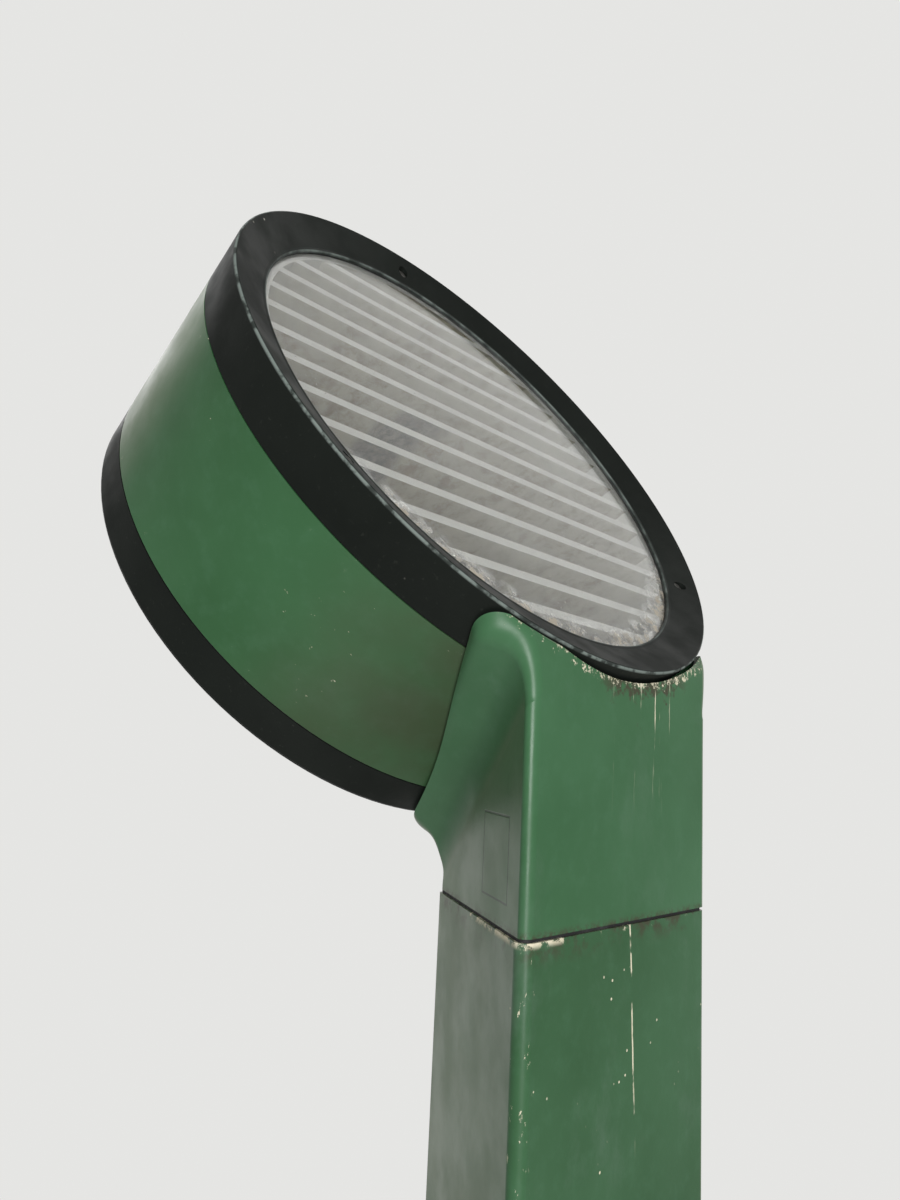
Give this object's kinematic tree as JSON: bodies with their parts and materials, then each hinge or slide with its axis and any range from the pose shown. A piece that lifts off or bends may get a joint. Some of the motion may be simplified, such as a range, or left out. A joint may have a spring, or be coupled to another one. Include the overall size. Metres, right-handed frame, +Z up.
{
  "type": "street lamp post",
  "caption": "Triangular lamp post on a round base plate, with a flared neck cradling a tilted drum head with a louvre behind glass; hinged access door, lift-off bezel.",
  "frame": {"origin": "centre of the anchor bolt circle on the underside of the base plate, on the post's axis", "axes": "+Z up the post; -Y is the wide front face that the glass looks over; +X to the right seen from the front"},
  "size_m": [0.42, 0.4894, 2.0006],
  "materials": {
    "green_paint": "aged satin forest green paint with cream primer showing at chips",
    "black_trim": "satin anthracite paint, worn at the edges",
    "cast_base": "dark painted casting",
    "inner_cast": "raw cast aluminium",
    "steel": "zinc plated steel",
    "screw_steel": "weathered stainless steel",
    "brass": "brass",
    "rubber": "matt black rubber",
    "silicone": "grey silicone",
    "white_grid": "yellowed white moulded plastic",
    "glass": "weathered flat glass",
    "bulb_glass": "clear quartz glass",
    "mirror_bowl": "brightened aluminium",
    "ceramic": "white steatite",
    "grey_plastic": "grey plastic",
    "black_plastic": "black nylon",
    "cable_sheath": "black rubber sheath",
    "core_iron": "varnished laminated iron"
  },
  "bodies": {
    "post": {"base_plate": "cast_base", "base_spigot": "cast_base", "base_screws": "screw_steel", "post_shell": "green_paint", "earth_stud": "brass", "hinge_leaf": "green_paint", "hinge_pin": "screw_steel", "hinge_screws": "screw_steel", "terminal_rail": "steel", "rail_screws": "screw_steel", "terminal_box": "grey_plastic", "terminal_box_lid": "grey_plastic", "terminal_strip": "black_plastic", "box_screws": "screw_steel", "box_glands": "black_plastic", "post_sleeve": "inner_cast", "sleeve_screws": "screw_steel", "seam_gasket": "rubber", "neck_bolts": "steel", "neck_shell": "green_paint", "saddle_bracket": "inner_cast", "saddle_pad": "rubber", "drum_bolts": "steel", "drum_gland": "black_plastic", "supply_cable": "cable_sheath", "drum_housing": "green_paint", "rear_gasket": "rubber", "rear_cover": "black_trim", "rear_cover_screws": "screw_steel", "reflector": "mirror_bowl", "reflector_screws": "screw_steel", "lamp_bulb": "bulb_glass", "lamp_holder": "ceramic", "holder_bracket": "steel", "gear_tray": "steel", "tray_screws": "screw_steel", "ballast": "core_iron", "ignitor": "grey_plastic", "capacitor": "mirror_bowl", "gear_terminal_block": "black_plastic"},
    "door": {"access_door": "green_paint", "door_gasket": "rubber"},
    "lock": {"lock_barrel": "screw_steel", "lock_cam": "steel", "lock_screw": "screw_steel"},
    "bezel": {"front_bezel": "black_trim", "bezel_gasket": "rubber", "lens_gasket": "silicone", "lens_glass": "glass", "louvre": "white_grid", "lens_clips": "steel", "clip_screws": "screw_steel"},
    "bezel_screw_top": {"bezel_screw_top": "screw_steel"},
    "bezel_screw_right": {"bezel_screw_right": "screw_steel"},
    "bezel_screw_left": {"bezel_screw_left": "screw_steel"}
  },
  "joints": [
    {"name": "door_hinge", "type": "hinge", "parent": "post", "child": "door", "pos_m": [-0.069, -0.05682, 0.505], "axis": [0, 0, -1], "range_deg": [0, 110]},
    {"name": "door_lock", "type": "hinge", "parent": "door", "child": "lock", "pos_m": [0.042, -0.05782, 0.505], "axis": [0, -1, 0], "range_deg": [-90, 0]},
    {"name": "bezel_lift", "type": "slide", "parent": "post", "child": "bezel", "axis": [0, -0.8281, 0.5606], "range_m": [0, 0.045]},
    {"name": "bezel_screw_top_turn", "type": "hinge", "parent": "bezel", "child": "bezel_screw_top", "pos_m": [0.01021, 0.17712, 1.98265], "axis": [0, -0.8281, 0.5606], "continuous": true},
    {"name": "bezel_screw_right_turn", "type": "hinge", "parent": "bezel", "child": "bezel_screw_right", "pos_m": [0.16354, 0.0084, 1.73346], "axis": [0, -0.8281, 0.5606], "continuous": true},
    {"name": "bezel_screw_left_turn", "type": "hinge", "parent": "bezel", "child": "bezel_screw_left", "pos_m": [-0.17375, 0.01831, 1.74809], "axis": [0, -0.8281, 0.5606], "continuous": true}
  ]
}
